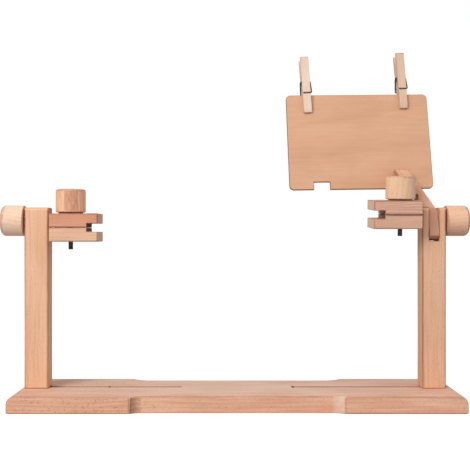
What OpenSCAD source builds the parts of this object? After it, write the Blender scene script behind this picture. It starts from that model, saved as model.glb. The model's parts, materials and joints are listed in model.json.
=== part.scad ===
// Embroidery table stand: a waisted base board, two upright posts that slide
// along slots, a two-jaw clamp beside each post, and a chart board held in a
// leaning arm, with two clothes pegs on its top edge.
// Millimetres, +Z up, origin at the middle of the base board's underside.

/* [Base board] */
// Length of the board, left to right
base_len = 551.5; // [500:0.5:640]
// Depth of the board at its ends, front to back
base_depth = 144; // [110:1:170]
// Thickness of the board
base_thick = 21; // [18:0.5:30]
// How far the front is drawn in at the waist
waist_cut = 6; // [4:0.5:18]
// How far the back is drawn in at the waist
back_waist_cut = 14; // [5:0.5:18]
// Half length of the straight part of the waist
waist_half = 114.5; // [90:0.5:130]
// Radius of the cove at each end of the waist
waist_cove = 22; // [19:0.5:30]
// Rounding of the upper edge at the two ends
end_round = 10; // [4:0.5:12]
// Rounding of the lower edge at the two ends
end_round_low = 2; // [1:0.5:4]
// Rounding of the long upper edges
long_round = 3; // [0.5:0.25:4]
// Rounding of the long lower edges
long_round_low = 1.5; // [0.5:0.25:3]

/* [Slots] */
// Distance of the slots behind the middle of the board
slot_y = 2; // [0:0.5:12]
// Width of the slot in the upper face
slot_w = 6.6; // [6.4:0.1:8]
// Distance from the board's middle to the inner end of each slot
slot_inner = 73; // [60:1:90]
// Width of the wide groove on the underside
groove_w = 19; // [18.6:0.1:24]
// Depth of the wide groove
groove_deep = 9; // [8.5:0.25:10]

/* [Posts] */
// Distance from the board's left end to the middle of the left post
left_post_in = 24.25; // [21:0.25:43]
// Distance from the board's right end to the middle of the right post
right_post_in = 29.25; // [21:0.25:43]
// How far the right post is turned about its own axis
right_yaw = 2.5; // [0:0.5:6]
// Width of a post, left to right
post_w = 30; // [28:0.5:34]
// Depth of a post, front to back
post_d = 28; // [26:0.5:34]
// Height of a post above the base board
post_h = 226.5; // [180:0.5:260]
// Distance of the pivot below the top of a post
pivot_drop = 16.5; // [14:0.5:18]
// Rounding of the front and back upper edges of a post
post_top_round = 4; // [1:0.5:6]
// Chamfer on the upright edges of a post
post_edge = 1; // [0.5:0.25:2]
// Width of the open slot in the top of the right post
bridle_w = 12.8; // [11:0.1:14]
// Depth of the open slot below the pivot
bridle_drop = 25.6; // [24:0.1:32]

/* [Clamps] */
// Length of a jaw block, away from the post
jaw_len = 60.5; // [52:0.5:70]
// Height of one jaw block
jaw_h = 17.25; // [15:0.25:20]
// Split between the two jaw blocks
jaw_gap = 0.4; // [0.4:0.1:2]
// Reach of the jaws in front of the pivot
jaw_front = 36; // [34:0.5:46]
// Reach of the jaws behind the pivot
jaw_back = 10; // [8:0.5:14]
// Depth of the rebate at the inner end
notch_len = 14; // [8:0.5:16]
// Height of the rebate in each jaw
notch_h = 5; // [3:0.25:7]
// Chamfer on the inner end's upright edges
jaw_end_cut = 1; // [0.5:0.25:4]
// Chamfer on the long edges of a jaw block
jaw_edge = 0.8; // [0.4:0.1:1.5]
// Distance of the clamp screw from the jaw's outer end
screw_in = 24; // [22:0.5:28]
// Distance of the clamp screw in front of the pivot
screw_fwd = 16.5; // [14.5:0.5:17]
// Tilt of the right clamp about its pivot, front end down
right_tilt = 3.5; // [1.5:0.5:4]
// Length of clamp screw left showing below the lower jaw
screw_out = 9.6; // [9.2:0.1:14]

/* [Knobs and screws] */
// Diameter of a clamp knob
knob_d = 37; // [34:0.5:38]
// Diameter of a side knob
side_knob_d = 38.5; // [34:0.5:40]
// Length of a wooden knob
knob_h = 29; // [24:0.5:32]
// Rounding of a clamp knob's outer edge
knob_round = 3; // [1:0.25:5]
// Rounding of a side knob's outer edge
side_knob_round = 5.5; // [1:0.25:7]
// Chamfer of a knob's edge beside the work
knob_cut = 1.6; // [0.5:0.1:3]
// Outer diameter of the threaded studs and bolts
stud_d = 6; // [5.6:0.1:6.3]
// How far a stud reaches into its knob
stud_in_knob = 18; // [15:0.5:20]
// Outer diameter of a threaded insert
insert_d = 9; // [8.4:0.1:10]
// Length of a threaded insert
insert_len = 14; // [10:0.5:15]
// Outer diameter of a plain washer
washer_d = 18; // [16:0.5:18]
// Outer diameter of the wide washer under a clamp knob
wide_washer_d = 30; // [18:0.5:30.5]
// Thickness of a plain washer
washer_t = 1.2; // [1:0.1:2]
// Width across the flats of the lock nut and bolt head
hex_flats = 10; // [9.5:0.5:12]
// Thickness of the lock nut
nut_t = 4.5; // [4:0.1:6]
// Thickness of the bolt head
head_t = 4; // [3.5:0.1:4.5]
// How far the slot bolt reaches into the foot of the post
bolt_in_post = 18; // [12:0.5:24]

/* [Chart arm] */
// Thickness of the arm's tenon, across the open slot
arm_t = 12.2; // [10:0.1:12.2]
// Thickness of the arm's leaning bar
bar_t = 15; // [12.5:0.5:16]
// Depth of the arm, front to back
arm_d = 23; // [18:0.5:24]
// Lean of the bar away from upright, towards the middle of the stand
arm_side_lean = 32; // [24:0.5:36]
// Height of the arm's top above the pivot
arm_top = 64.4; // [60:0.1:70]
// Height above the pivot where the bar leaves the tenon's outer side
arm_knee = 8.8; // [6:0.1:9.5]
// Lean of arm and chart board towards the back
arm_back_lean = 14; // [13:0.5:20]
// How far the arm tilts back from there
arm_travel = 45; // [20:1:50]
// Depth of the slit that holds the board
slit_deep = 22.5; // [14:0.5:26]
// Gap between the tenon's round foot and the bottom of its slot
tenon_gap = 0.5; // [0.4:0.1:4]
// Opening of the right clamp that the arm leaves room for
right_travel = 4; // [2:0.5:6]
// Room left between the arm and the right clamp's upper jaw
jaw_room = 1.5; // [0.5:0.1:3]

/* [Chart board] */
// Width of the board
board_w = 184.5; // [170:0.5:220]
// Height of the board
board_h = 128; // [100:1:150]
// Thickness of the board
board_t = 4; // [3:0.25:5]
// How far the board reaches past the pivot, outwards
board_out = 4.9; // [2:0.1:8]
// Roll of the board in its slit, top towards the middle of the stand
board_roll = 0.9; // [0:0.1:2]
// Radius of the board's corners
board_corner = 6; // [3:0.5:10]
// Distance from the inner end of the board to its notch
cut_from_end = 31.5; // [15:0.5:40]
// Width of the notch in the lower edge
cut_w = 20.5; // [10:0.5:26]
// Height of the notch in the lower edge
cut_h = 10; // [5:0.5:14]

/* [Clothes pegs] */
// Length of a peg
peg_len = 76; // [66:0.5:78]
// Width of a peg
peg_w = 10.5; // [9.5:0.25:12]
// Half the spread of the handle ends, outside
peg_spread = 9.5; // [9:0.1:11]
// Thickness of a prong at its tip
peg_tip_t = 4; // [3:0.1:4.5]
// Thickness of a prong at its handle end
peg_end_t = 4.2; // [3.5:0.1:5]
// Distance from the handle end to the middle of the spring coil
coil_from_end = 35; // [33:0.5:38]
// Distance from the handle end to the wire across the prong
wire_from_end = 49.8; // [44:0.1:51]
// Distance of the left peg from the board's inner end
left_peg_in = 27; // [15:0.5:50]
// Distance of the right peg from the board's outer end
right_peg_in = 32; // [15:0.5:50]
// How far the left peg reaches down over the board
left_peg_bite = 24.6; // [14:0.2:26]
// How far the right peg reaches down over the board
right_peg_bite = 20; // [14:0.2:26]
// Turn of the left peg against the board
left_peg_turn = 1.9; // [0:0.1:4]
// Turn of the right peg against the board
right_peg_turn = 0.9; // [0:0.1:4]
// Slant of a prong's tip, inwards
tip_cut = 1.6; // [0.5:0.1:2.5]
// Height of the slanted tip
tip_cut_h = 5; // [2:0.5:8]
// Chamfer on a prong's handle end
end_cut = 1; // [0.5:0.1:2]
// Diameter of the spring wire
wire_d = 1.6; // [1.2:0.1:2]
// Depth of the groove that the wire lies in
wire_groove = 1; // [0.8:0.1:1.4]
// Distance of the wire's end from the side of its prong
wire_end = 1.2; // [0.5:0.1:3]
// Mean radius of the spring coil
coil_r = 2.9; // [2.5:0.1:3.2]
// Turns of the spring coil
coil_turns = 4.5; // [3.5:1:4.5]

/* [Hidden] */
$fn = 48;
eps = 0.01;
// How far a cutting shape reaches past the part
over = 1;
// Gap between parts that slide or turn past each other
play = 0.3;
// Radial running gap of a threaded stud in its insert
thread_play = 0.05;
// Radial gap of a stud in a drilled hole
hole_play = 0.3;
// Gap between pieces that are pressed together
seat = 0.1;

left_post_x = base_len / 2 - left_post_in;
right_post_x = base_len / 2 - right_post_in;
pivot_z = base_thick + play + post_h - pivot_drop;
post_foot = base_thick + play;
standoff = nut_t + play;
jaw_x = post_w / 2 + standoff;
screw_x = jaw_x + screw_in;
bore_d = stud_d + 2 * thread_play;
hole_d = stud_d + 2 * hole_play;
knob_seat = washer_t + 2 * seat;
slot_outer = max(left_post_x, right_post_x) + slot_w / 2 + play;

// The arm's bar, in the upright plane of the post
side_run = tan(arm_side_lean);
bar_width = bar_t / cos(arm_side_lean);
slit_z = arm_top - slit_deep;
slit_x = side_run * (slit_z - arm_knee) - arm_t / 2 + bar_width / 2;
shoulder_r = play + post_top_round
    + norm([pivot_drop - post_top_round, post_d / 2 - post_top_round]);
tenon_r = bridle_drop - tenon_gap;
// Reach of the right clamp's upper jaw about the pivot, fully opened
jaw_reach_r = jaw_room + norm([jaw_back, 1.5 * jaw_h + jaw_gap + right_travel]);

// Lines of a peg, measured up from the lower edge of its prongs' overlap
peg_face = board_t / 2 + play;
peg_slope = (peg_spread - peg_face - peg_tip_t) / peg_len;
wire_path_x = peg_w / 2 + play + wire_d / 2;
coil_hole = coil_r + wire_d / 2 + play;
coil_rings = 8;
wire_sides = 6;
bend_r = 1.3;
bend_mid = 0.3;

wood = "#dcae84";
pale_wood = "#e3bf98";
board_wood = "#d2a078";
peg_wood = "#e2bd96";
steel = "#8a8a86";
dark_steel = "#4c4a47";
brass = "#b79a5a";

// Places. Each post's own frame has +X towards the middle of the stand.
module at_left() {
    translate([-left_post_x, slot_y, 0]) children();
}

module at_right() {
    translate([right_post_x, slot_y, 0]) rotate([0, 0, right_yaw]) mirror([1, 0, 0]) children();
}

module at_left_clamp() {
    at_left() translate([0, 0, pivot_z]) children();
}

module at_right_clamp() {
    at_right() translate([0, 0, pivot_z]) rotate([right_tilt, 0, 0]) children();
}

module at_arm() {
    at_right() translate([0, 0, pivot_z]) rotate([-arm_back_lean, 0, 0]) children();
}

// The board's frame has its origin at the outer end of the lower edge.
module at_board() {
    at_arm() translate([slit_x, 0, slit_z + play]) rotate([0, board_roll, 0])
        translate([-slit_x - board_out, 0, 0]) children();
}

module at_left_peg() {
    at_board() translate([board_w - left_peg_in, 0, board_h]) rotate([0, left_peg_turn, 0])
        translate([0, 0, -left_peg_bite]) children();
}

module at_right_peg() {
    at_board() translate([right_peg_in, 0, board_h]) rotate([0, right_peg_turn, 0])
        translate([0, 0, -right_peg_bite]) children();
}

// Outline helpers
function arc(cx, cy, r, from, to, steps) =
    [for (i = [0:steps]) let (a = from + (to - from) * i / steps) [cx + r * cos(a), cy + r * sin(a)]];

function cut_box(x0, y0, x1, y1, c) = [
    [x0 + c, y0], [x1 - c, y0], [x1, y0 + c], [x1, y1 - c],
    [x1 - c, y1], [x0 + c, y1], [x0, y1 - c], [x0, y0 + c]
];

// Hexagonal prism with the given width across its flats
module hex(flats, h) {
    cylinder(d = flats / cos(30), h = h, $fn = 6);
}

module x_cylinder(d, x0, x1) {
    translate([x0, 0, 0]) rotate([0, 90, 0]) cylinder(d = d, h = x1 - x0);
}

// Base board
module base_side_profile() {
    l = base_len / 2;
    polygon(concat(
        arc(l - end_round_low, end_round_low, end_round_low, -90, 0, 4),
        arc(l - end_round, base_thick - end_round, end_round, 0, 90, 10),
        arc(-l + end_round, base_thick - end_round, end_round, 90, 180, 10),
        arc(-l + end_round_low, end_round_low, end_round_low, 180, 270, 4)
    ));
}

module base_end_profile() {
    d = base_depth / 2;
    r = long_round;
    low = long_round_low;
    polygon(concat(
        arc(d - low, low, low, -90, 0, 4), arc(d - r, base_thick - r, r, 0, 90, 6),
        arc(-d + r, base_thick - r, r, 90, 180, 6), arc(-d + low, low, low, 180, 270, 4)
    ));
}

// Space cut away behind the waist: a straight run between two coves, with the
// board's upper edge rounded along all three
module waist_space(cut) {
    y = base_depth / 2 - cut;
    z = base_thick - long_round;
    translate([-waist_half, 0, 0]) rotate([90, 0, 90]) linear_extrude(2 * waist_half) polygon(concat(
        [[y, -over]], arc(y - long_round, z, long_round, 0, 90, 6),
        [[y - long_round, base_thick + over], [y + cut + over, base_thick + over], [y + cut + over, -over]]
    ));
    for (x = [-waist_half, waist_half]) translate([x, y + waist_cove, 0]) rotate_extrude() polygon(concat(
        [[0, -over], [waist_cove, -over]], arc(waist_cove + long_round, z, long_round, 180, 90, 6),
        [[waist_cove + long_round, base_thick + over], [0, base_thick + over]]
    ));
}

// Round-ended slot from below the board up to the height top
module slot_cut(sx, w, top) {
    for (x = [slot_inner, slot_outer]) translate([sx * x, slot_y, -eps]) cylinder(d = w, h = top + eps);
    translate([sx > 0 ? slot_inner : -slot_outer, slot_y - w / 2, -eps])
        cube([slot_outer - slot_inner, w, top + eps]);
}

module base_board() {
    color(wood) difference() {
        intersection() {
            translate([0, base_depth / 2, 0]) rotate([90, 0, 0])
                linear_extrude(base_depth) base_side_profile();
            translate([-base_len / 2, 0, 0]) rotate([90, 0, 90])
                linear_extrude(base_len) base_end_profile();
        }
        waist_space(back_waist_cut);
        mirror([0, 1, 0]) waist_space(waist_cut);
        for (sx = [-1, 1]) {
            slot_cut(sx, slot_w, base_thick + eps);
            slot_cut(sx, groove_w, groove_deep);
        }
    }
}

// Posts
module post_body() {
    top = post_foot + post_h;
    r = post_top_round;
    intersection() {
        translate([0, 0, post_foot]) linear_extrude(post_h)
            polygon(cut_box(-post_w / 2, -post_d / 2, post_w / 2, post_d / 2, post_edge));
        translate([-post_w / 2, 0, 0]) rotate([90, 0, 90]) linear_extrude(post_w)
            polygon(concat(
                [[-post_d / 2, post_foot], [post_d / 2, post_foot]],
                arc(post_d / 2 - r, top - r, r, 0, 90, 6),
                arc(-post_d / 2 + r, top - r, r, 90, 180, 6)
            ));
    }
}

module post_holes() {
    translate([0, 0, pivot_z]) x_cylinder(hole_d, -post_w / 2 - eps, post_w / 2 + eps);
    translate([0, 0, post_foot - eps]) cylinder(d = insert_d, h = insert_len + eps);
    translate([0, 0, post_foot]) cylinder(d = hole_d, h = bolt_in_post + 2);
}

module left_post() {
    at_left() color(wood) difference() {
        post_body();
        post_holes();
    }
}

module right_post() {
    at_right() color(wood) difference() {
        post_body();
        post_holes();
        translate([-bridle_w / 2, -post_d, pivot_z - bridle_drop])
            cube([bridle_w, 2 * post_d, bridle_drop + post_h]);
    }
}

module post_insert() {
    color(brass) translate([0, 0, post_foot]) difference() {
        cylinder(d = insert_d, h = insert_len);
        translate([0, 0, -eps]) cylinder(d = bore_d, h = insert_len + 2 * eps);
    }
}

module slot_bolt() {
    head_z = groove_deep - washer_t - play - seat - head_t;
    color(steel) translate([0, 0, head_z]) {
        hex(hex_flats, head_t);
        cylinder(d = stud_d, h = head_t + washer_t + play + seat + base_thick - groove_deep
            + play + bolt_in_post);
    }
}

module slot_washer() {
    color(steel) translate([0, 0, groove_deep - washer_t - play]) plain_washer(washer_d);
}

// Washer standing on the plane z = 0
module plain_washer(d) {
    difference() {
        cylinder(d = d, h = washer_t);
        translate([0, 0, -eps]) cylinder(d = hole_d, h = washer_t + 2 * eps);
    }
}

// Clamps. The frame's origin is the pivot, in the middle of the fixed jaw.
// side is 1 where the loose jaw lies above the fixed one and -1 where below.
function loose_z(side) = side * (jaw_h + jaw_gap);
function upper_z(side) = max(0, loose_z(side)) + jaw_h / 2;
function lower_z(side) = min(0, loose_z(side)) - jaw_h / 2;

module jaw_block(z, notch_side) {
    end = jaw_x + jaw_len;
    difference() {
        translate([0, 0, z]) intersection() {
            translate([0, 0, -jaw_h / 2]) linear_extrude(jaw_h) polygon([
                [jaw_x, -jaw_front], [end - jaw_end_cut, -jaw_front],
                [end, -jaw_front + jaw_end_cut], [end, jaw_back - jaw_end_cut],
                [end - jaw_end_cut, jaw_back], [jaw_x, jaw_back]
            ]);
            translate([jaw_x, 0, 0]) rotate([90, 0, 90]) linear_extrude(jaw_len)
                polygon(cut_box(-jaw_front, -jaw_h / 2, jaw_back, jaw_h / 2, jaw_edge));
        }
        translate([end - notch_len, -jaw_front - 1, z + (notch_side > 0 ? jaw_h / 2 - notch_h : -jaw_h / 2 - 1)])
            cube([notch_len + 1, jaw_front + jaw_back + 2, notch_h + 1]);
    }
}

module screw_hole(z, d) {
    translate([screw_x, -screw_fwd, z - jaw_h / 2 - eps]) cylinder(d = d, h = jaw_h + 2 * eps);
}

module pivot_pocket() {
    x_cylinder(insert_d, jaw_x - eps, jaw_x + insert_len);
    x_cylinder(hole_d, jaw_x, jaw_x + insert_len + 2);
}

module jaw_insert(side) {
    color(brass) translate([screw_x, -screw_fwd, lower_z(side)]) difference() {
        cylinder(d = insert_d, h = insert_len);
        translate([0, 0, -eps]) cylinder(d = bore_d, h = insert_len + 2 * eps);
    }
}

module insert_pocket(side) {
    translate([screw_x, -screw_fwd, lower_z(side) - eps]) cylinder(d = insert_d, h = insert_len + eps);
}

module upper_jaw(side, fixed) {
    z = upper_z(side) - jaw_h / 2;
    color(wood) difference() {
        jaw_block(z, -1);
        screw_hole(z, hole_d);
        if (fixed) pivot_pocket();
    }
}

module lower_jaw(side, fixed) {
    z = lower_z(side) + jaw_h / 2;
    color(wood) difference() {
        jaw_block(z, 1);
        screw_hole(z, hole_d);
        insert_pocket(side);
        if (fixed) pivot_pocket();
    }
}

module knob_solid(d, round) {
    r = d / 2;
    rotate_extrude() polygon(concat(
        [[0, 0], [r - knob_cut, 0], [r, knob_cut]],
        arc(r - round, knob_h - round, round, 0, 90, 6),
        [[0, knob_h]]
    ));
}

module clamp_washer(side) {
    color(steel) translate([screw_x, -screw_fwd, upper_z(side) + seat]) plain_washer(wide_washer_d);
}

module clamp_knob(side) {
    color(pale_wood) translate([screw_x, -screw_fwd, upper_z(side) + knob_seat]) difference() {
        knob_solid(knob_d, knob_round);
        translate([0, 0, -eps]) cylinder(d = stud_d, h = stud_in_knob + eps);
    }
}

module clamp_stud(side) {
    low = lower_z(side) - screw_out;
    color(dark_steel) translate([screw_x, -screw_fwd, low])
        cylinder(d = stud_d, h = upper_z(side) + knob_seat + stud_in_knob - low);
}

module pivot_stud() {
    color(dark_steel) x_cylinder(stud_d, -post_w / 2 - play - knob_seat - stud_in_knob, jaw_x + insert_len);
}

module pivot_insert() {
    color(brass) difference() {
        x_cylinder(insert_d, jaw_x, jaw_x + insert_len);
        x_cylinder(stud_d, jaw_x - eps, jaw_x + insert_len + eps);
    }
}

module lock_nut() {
    color(steel) difference() {
        translate([jaw_x - nut_t, 0, 0]) rotate([0, 90, 0]) hex(hex_flats, nut_t);
        x_cylinder(stud_d, jaw_x - nut_t - eps, jaw_x + eps);
    }
}

// Frame on the outer face of a post, +Z pointing away from it
module on_outer_face() {
    translate([-post_w / 2 - play, 0, 0]) rotate([0, -90, 0]) children();
}

module pivot_washer() {
    color(steel) on_outer_face() plain_washer(washer_d);
}

module pivot_knob() {
    color(pale_wood) on_outer_face() translate([0, 0, knob_seat]) difference() {
        knob_solid(side_knob_d, side_knob_round);
        translate([0, 0, -eps]) cylinder(d = insert_d, h = insert_len + eps);
        cylinder(d = hole_d, h = stud_in_knob + 2);
    }
}

module knob_insert() {
    color(brass) on_outer_face() translate([0, 0, knob_seat]) difference() {
        cylinder(d = insert_d, h = insert_len);
        translate([0, 0, -eps]) cylinder(d = bore_d, h = insert_len + 2 * eps);
    }
}

// Chart arm: a tenon in the post's open slot, and a leaning bar slit for the board
module arm_outline() {
    t = arm_t / 2;
    left = side_run * (arm_top - arm_knee) - t;
    polygon([
        [-t, -tenon_r], [t, -tenon_r],
        [t, arm_knee + (2 * t - bar_width) / side_run],
        [left + bar_width, arm_top], [left, arm_top],
        [-t, arm_knee]
    ]);
}

// Part of the shoulder that stays above the cheek's flat top over the whole tilt
module shoulder_lip() {
    intersection() {
        above_cheek(arm_back_lean);
        above_cheek(arm_back_lean + arm_travel);
    }
}

module above_cheek(lean) {
    rotate([lean, 0, 0]) translate([0, -2 * shoulder_r, pivot_drop + play])
        cube([2 * post_w, 4 * shoulder_r, 2 * shoulder_r]);
}

module chart_arm() {
    at_arm() color(wood) difference() {
        translate([0, arm_d / 2, 0]) rotate([90, 0, 0]) linear_extrude(arm_d) arm_outline();
        // Round foot, so that the tenon can turn in its slot
        difference() {
            translate([-arm_t, -arm_d, -2 * tenon_r]) cube([2 * arm_t, 2 * arm_d, 2 * tenon_r]);
            x_cylinder(2 * tenon_r, -arm_t - 1, arm_t + 1);
        }
        // Hollow shoulder above the inner cheek of the post, and relief for the upper jaw
        difference() {
            x_cylinder(2 * shoulder_r, arm_t / 2, post_w);
            shoulder_lip();
        }
        x_cylinder(2 * jaw_reach_r, jaw_x - jaw_room, jaw_x + jaw_len);
        x_cylinder(hole_d, -arm_t, arm_t);
        translate([slit_x, 0, slit_z]) rotate([0, board_roll, 0])
            translate([-board_w / 2, -board_t / 2 - play, 0])
                cube([board_w, board_t + 2 * play, arm_top]);
    }
}

// Chart board
module board_outline() {
    r = board_corner;
    x0 = board_w - cut_from_end - cut_w;
    polygon(concat(
        arc(r, r, r, 180, 270, 8),
        [[x0, 0], [x0, cut_h], [x0 + cut_w, cut_h], [x0 + cut_w, 0]],
        arc(board_w - r, r, r, -90, 0, 8),
        arc(board_w - r, board_h - r, r, 0, 90, 8),
        arc(r, board_h - r, r, 90, 180, 8)
    ));
}

module chart_board() {
    at_board() color(board_wood) translate([0, board_t / 2, 0]) rotate([90, 0, 0])
        linear_extrude(board_t) board_outline();
}

// Clothes pegs. The frame's origin is at the lower edge of the overlap, +Z up
// the peg. Profiles are drawn as [distance from the board's middle, height].
function peg_outer(z) = peg_face + peg_tip_t + peg_slope * z;
coil_z = peg_len - coil_from_end;
wire_z = peg_len - wire_from_end;

module prong_profile() {
    bend_z = coil_z + coil_hole;
    low = wire_z - wire_d / 2 - seat;
    high = wire_z + wire_d / 2 + seat;
    floor_y = peg_outer(wire_z) - wire_groove;
    difference() {
        polygon([
            [peg_face, 0], [peg_outer(0) - tip_cut, 0], [peg_outer(tip_cut_h), tip_cut_h],
            [peg_outer(low), low], [floor_y, low], [floor_y, high], [peg_outer(high), high],
            [peg_spread, peg_len - end_cut], [peg_spread - end_cut, peg_len],
            [peg_spread - peg_end_t, peg_len], [peg_face, bend_z]
        ]);
        translate([0, coil_z]) circle(r = coil_hole);
    }
}

// side is -1 for the front prong and 1 for the back one
module prong(side) {
    color(peg_wood) translate([-peg_w / 2, 0, 0]) mirror([0, side < 0 ? 1 : 0, 0])
        rotate([90, 0, 90]) linear_extrude(peg_w) prong_profile();
}

// Spring wire: one run across the front prong, the coil, one across the back
function unit(v) = v / norm(v);
function corner_arc(p, from, to) =
    let (a = unit(from - p), b = unit(to - p))
    [p + a * bend_r, p + (a + b) * bend_r * bend_mid, p + b * bend_r];

wire_y = peg_outer(wire_z) - wire_groove + wire_d / 2 + seat;

function half_wire() =
    let (
        end = [peg_w / 2 - wire_end, -wire_y, wire_z],
        corner = [-wire_path_x, -wire_y, wire_z],
        leave = [-wire_path_x, -coil_r, coil_z]
    )
    concat([end], corner_arc(corner, end, leave));

function coil_points() =
    let (n = coil_turns * coil_rings)
    [for (i = [0:n]) let (a = 360 * i / coil_rings)
        [-wire_path_x + 2 * wire_path_x * i / n, -coil_r * cos(a), coil_z + coil_r * sin(a)]];

// The back half is the front half turned half round the peg's own axis.
function wire_points() =
    let (h = half_wire())
    concat(h, coil_points(), [for (i = [len(h) - 1:-1:0]) [-h[i][0], -h[i][1], h[i][2]]]);

function tangent(p, i) = unit(p[min(i + 1, len(p) - 1)] - p[max(i - 1, 0)]);
function square_to(n, t) = unit(n - (n * t) * t);

module wire_tube(p, d, sides) {
    count = len(p);
    normals = [for (i = 0, n = square_to([0, 0, 1], tangent(p, 0)); i < count;
        i = i + 1, n = i < count ? square_to(n, tangent(p, i)) : n) n];
    points = [for (i = [0:count - 1]) let (t = tangent(p, i), u = normals[i], v = cross(t, u))
        for (k = [0:sides - 1]) p[i] + d / 2 * (cos(360 * k / sides) * u + sin(360 * k / sides) * v)];
    around = [for (i = [0:count - 2]) for (k = [0:sides - 1])
        let (a = i * sides + k, b = i * sides + (k + 1) % sides)
        each [[a, b, a + sides], [b, b + sides, a + sides]]];
    low = [for (k = [1:sides - 2]) [0, k + 1, k]];
    high = [for (k = [1:sides - 2]) let (s = (count - 1) * sides) [s, s + k, s + k + 1]];
    polyhedron(points = points, faces = [for (f = concat(around, low, high)) [f[0], f[2], f[1]]]);
}

// Least distance between runs of the wire that aren't neighbours, less its diameter
function least_gap(p) =
    min([for (i = [0:len(p) - 1]) for (j = [i + 5:1:len(p) - 1]) norm(p[i] - p[j])]) - wire_d;

module peg_spring() {
    p = wire_points();
    echo(spring_least_gap = least_gap(p));
    color(steel) wire_tube(p, wire_d, wire_sides);
}

base_board();
left_post();
right_post();
at_left_clamp() upper_jaw(-1, true);  // left_fixed_jaw
at_left_clamp() lower_jaw(-1, false);  // left_loose_jaw
at_right_clamp() lower_jaw(1, true);  // right_fixed_jaw
at_right_clamp() upper_jaw(1, false);  // right_loose_jaw
at_left_clamp() clamp_knob(-1);  // left_clamp_knob
at_right_clamp() clamp_knob(1);  // right_clamp_knob
at_left_clamp() clamp_stud(-1);  // left_clamp_stud
at_right_clamp() clamp_stud(1);  // right_clamp_stud
at_left_clamp() clamp_washer(-1);  // left_clamp_washer
at_right_clamp() clamp_washer(1);  // right_clamp_washer
at_left_clamp() jaw_insert(-1);  // left_jaw_insert
at_right_clamp() jaw_insert(1);  // right_jaw_insert
at_left_clamp() pivot_knob();  // left_pivot_knob
at_right_clamp() pivot_knob();  // right_pivot_knob
at_left_clamp() pivot_stud();  // left_pivot_stud
at_right_clamp() pivot_stud();  // right_pivot_stud
at_left_clamp() pivot_washer();  // left_pivot_washer
at_right_clamp() pivot_washer();  // right_pivot_washer
at_left_clamp() knob_insert();  // left_knob_insert
at_right_clamp() knob_insert();  // right_knob_insert
at_left_clamp() pivot_insert();  // left_pivot_insert
at_right_clamp() pivot_insert();  // right_pivot_insert
at_left_clamp() lock_nut();  // left_lock_nut
at_right_clamp() lock_nut();  // right_lock_nut
at_left() slot_bolt();  // left_slot_bolt
at_right() slot_bolt();  // right_slot_bolt
at_left() slot_washer();  // left_slot_washer
at_right() slot_washer();  // right_slot_washer
at_left() post_insert();  // left_post_insert
at_right() post_insert();  // right_post_insert
chart_arm();
chart_board();
at_left_peg() prong(-1);  // left_peg_front
at_left_peg() prong(1);  // left_peg_back
at_left_peg() peg_spring();  // left_peg_spring
at_right_peg() prong(-1);  // right_peg_front
at_right_peg() prong(1);  // right_peg_back
at_right_peg() peg_spring();  // right_peg_spring
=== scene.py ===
"""Embroidery table stand: the looks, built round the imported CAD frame.

Sizes and places are in the CAD source's millimetres and degrees, +Z up. Meshes, lamps and camera are in metres.
"""

import json
import math

import bmesh
import bpy
from mathutils import Matrix, Vector


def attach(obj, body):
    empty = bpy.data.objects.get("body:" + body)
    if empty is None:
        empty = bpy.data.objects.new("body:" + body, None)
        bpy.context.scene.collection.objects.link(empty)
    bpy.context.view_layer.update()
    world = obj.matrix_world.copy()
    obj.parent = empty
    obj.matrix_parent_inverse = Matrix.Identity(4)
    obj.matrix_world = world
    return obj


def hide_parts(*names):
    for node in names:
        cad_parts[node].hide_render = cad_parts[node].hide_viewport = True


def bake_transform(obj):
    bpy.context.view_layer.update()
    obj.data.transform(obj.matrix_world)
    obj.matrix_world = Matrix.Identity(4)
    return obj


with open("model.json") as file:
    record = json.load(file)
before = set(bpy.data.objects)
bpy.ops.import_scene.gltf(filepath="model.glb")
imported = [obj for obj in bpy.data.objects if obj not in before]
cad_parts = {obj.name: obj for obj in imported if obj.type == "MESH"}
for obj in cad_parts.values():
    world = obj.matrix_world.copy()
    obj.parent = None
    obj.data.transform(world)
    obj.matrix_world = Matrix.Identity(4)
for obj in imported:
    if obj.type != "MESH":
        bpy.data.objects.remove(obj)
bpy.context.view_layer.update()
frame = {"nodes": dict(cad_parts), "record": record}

MM = 0.001

# Base and posts
POST_W, PIVOT_Z = 30, 231.3
LEFT_POST_X, RIGHT_POST_X, RIGHT_POST_TURN = -251.5, 246.5, 2.5
SLOT_Y, SLOT_REACH_Y, SLOT_INNER_X, SLOT_OUTER_X = 2, 10, 73, 262
COVE_OUT, COVE_IN, COVE_Y = 128, 109, -58

# Clamps, knobs and rods
JAW_X, JAW_LEN, JAW_H, JAW_GAP, NOTCH_LEN = 19.8, 60.5, 17.25, 0.4, 14
RIGHT_CLAMP_TILT = 3.5
SCREW_X, SCREW_Y, SCREW_OUT = 43.8, -16.5, 9.6
KNOB_R, SIDE_KNOB_R, KNOB_H, KNOB_SEAT = 18.5, 19.25, 29, 1.4
KNOB_ROUND, SIDE_KNOB_ROUND, KNOB_FOOT_ROUND, KNOB_FOOT_FLAT = 3.0, 5.5, 1.7, 2.2
KNOB_DISH_R, KNOB_DISH = 9, 0.02
STUD_R, STUD_IN_KNOB = 3.0, 18
INSERT_R, INSERT_LEN, STUD_ROOM_R, STUD_ROOM = 4.5, 14, 3.3, 20
POST_ROOM = 0.3
THREAD_PITCH, THREAD_DEPTH, THREAD_END = 1.0, 0.36, 0.9

# Arm and board
ARM_TILT, ARM_LEAN = -14, 32
SLIT_X, SLIT_Z, SLIT_ROOM = 23.427, 41.9, 0.3
BOARD_W, BOARD_H, BOARD_T, BOARD_OUT, BOARD_TILT = 184.5, 128, 4, 4.9, 0.9

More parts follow.
